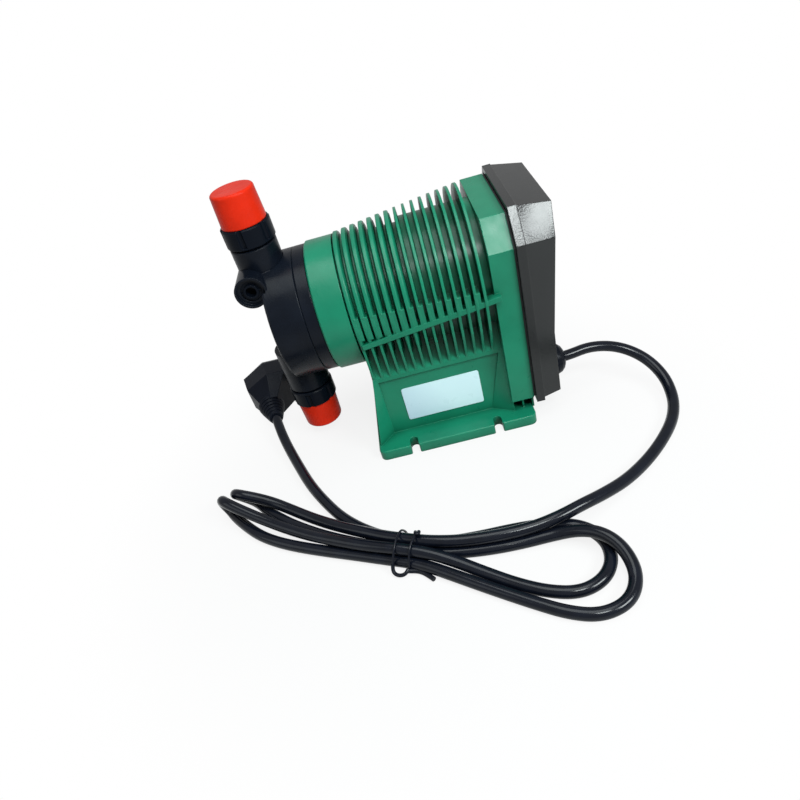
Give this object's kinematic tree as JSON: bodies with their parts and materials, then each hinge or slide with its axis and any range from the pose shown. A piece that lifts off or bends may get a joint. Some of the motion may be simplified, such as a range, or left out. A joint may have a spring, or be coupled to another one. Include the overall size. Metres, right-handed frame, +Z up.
{
  "type": "diaphragm metering pump",
  "caption": "Solenoid-driven diaphragm metering pump with finned green housing, black pump head, capped upper and lower valves, rear control cover and bundled power cord.",
  "frame": {"origin": "middle of the four foot slots, on the underside of the foot", "axes": "+X from the pump head to the rear cover, +Y across the foot away from the pictured side, +Z up"},
  "size_m": [0.3018, 0.2761, 0.1785],
  "materials": {
    "housing_green": "satin green coating on cast aluminium",
    "cover_charcoal": "finely grained charcoal plastic",
    "head_black": "gloss black plastic",
    "nut_black": "gloss black plastic",
    "cap_orange": "soft gloss orange-red plastic",
    "cord_black": "smooth black sheath",
    "plug_black": "moulded black plastic",
    "label_white": "white film shaded to pale blue",
    "panel_grey": "light grey printed plate",
    "knob_black": "matt black plastic",
    "steel": "bright steel",
    "soft_iron": "machined magnetic steel",
    "brass": "bright brass",
    "copper": "wound enamelled copper",
    "bobbin": "natural plastic",
    "fluoropolymer": "smooth white plastic",
    "ceramic": "polished white ceramic",
    "rubber_black": "black rubber",
    "board_green": "green laminate",
    "part_grey": "dark grey plastic",
    "lens_red": "red translucent plastic",
    "rocker_red": "red plastic",
    "wire_tie": "black plastic-covered wire"
  },
  "bodies": {
    "pump": {"board_screws": "steel", "cable_gland": "head_black", "capacitors": "part_grey", "circuit_board": "board_green", "clamp_ring": "head_black", "coil_bobbin": "bobbin", "cord_hank": "cord_black", "cord_tie": "wire_tie", "cover_gasket": "rubber_black", "cover_screws": "steel", "dial_plate": "panel_grey", "discharge_cage": "fluoropolymer", "discharge_hose_spigot": "head_black", "discharge_seals": "rubber_black", "discharge_seat": "fluoropolymer", "discharge_union_nut": "nut_black", "discharge_valve_body": "head_black", "front_bush": "brass", "gland_nut": "head_black", "head_screws": "steel", "indicator_lens": "lens_red", "main_housing": "housing_green", "name_plate": "label_white", "plug_body": "plug_black", "plug_pins": "brass", "pole_piece": "soft_iron", "power_cord_lead": "cord_black", "power_cord_tail": "cord_black", "pump_head": "head_black", "rate_potentiometer": "part_grey", "rear_bush": "brass", "rear_cover": "cover_charcoal", "solenoid_coil": "copper", "solenoid_screws": "steel", "solenoid_yoke": "soft_iron", "stop_bumper": "rubber_black", "suction_cage": "fluoropolymer", "suction_hose_spigot": "head_black", "suction_seals": "rubber_black", "suction_seat": "fluoropolymer", "suction_union_nut": "nut_black", "suction_valve_body": "head_black", "switch_frame": "knob_black", "terminal_block": "part_grey"},
    "plunger": {"plunger_rod": "steel", "armature": "soft_iron", "diaphragm_plate": "steel", "diaphragm": "fluoropolymer", "return_spring": "steel"},
    "discharge_ball": {"discharge_ball": "ceramic"},
    "suction_ball": {"suction_ball": "ceramic"},
    "bleed_screw": {"bleed_screw": "nut_black"},
    "rate_knob": {"rate_knob": "knob_black", "rate_shaft": "steel"},
    "power_rocker": {"power_rocker": "rocker_red"},
    "discharge_cap": {"discharge_cap": "cap_orange"},
    "suction_cap": {"suction_cap": "cap_orange"}
  },
  "joints": [
    {"name": "plunger_stroke", "type": "slide", "parent": "pump", "child": "plunger", "axis": [-1, 0, 0], "range_m": [0, 0.00125], "stiffness_N_per_m": 4000, "deforming": ["diaphragm", "return_spring"]},
    {"name": "discharge_ball_lift", "type": "slide", "parent": "pump", "child": "discharge_ball", "axis": [0, 0, 1], "range_m": [0, 0.0015]},
    {"name": "suction_ball_lift", "type": "slide", "parent": "pump", "child": "suction_ball", "axis": [0, 0, 1], "range_m": [0, 0.0015]},
    {"name": "bleed_screw_turn", "type": "hinge", "parent": "pump", "child": "bleed_screw", "pos_m": [-0.09685, -0.0155, 0.126], "axis": [0, -1, 0], "range_deg": [0, 180]},
    {"name": "rate_knob_turn", "type": "hinge", "parent": "pump", "child": "rate_knob", "pos_m": [0.079, 0, 0.093], "axis": [1, 0, 0], "range_deg": [0, 270]},
    {"name": "power_rocker_tilt", "type": "hinge", "parent": "pump", "child": "power_rocker", "pos_m": [0.0685, 0.014, 0.037], "axis": [0, 1, 0], "range_deg": [0, 14]},
    {"name": "discharge_cap_pull", "type": "slide", "parent": "pump", "child": "discharge_cap", "axis": [0, 0, 1], "range_m": [0, 0.008]},
    {"name": "suction_cap_pull", "type": "slide", "parent": "pump", "child": "suction_cap", "axis": [0, 0, -1], "range_m": [0, 0.008]}
  ]
}
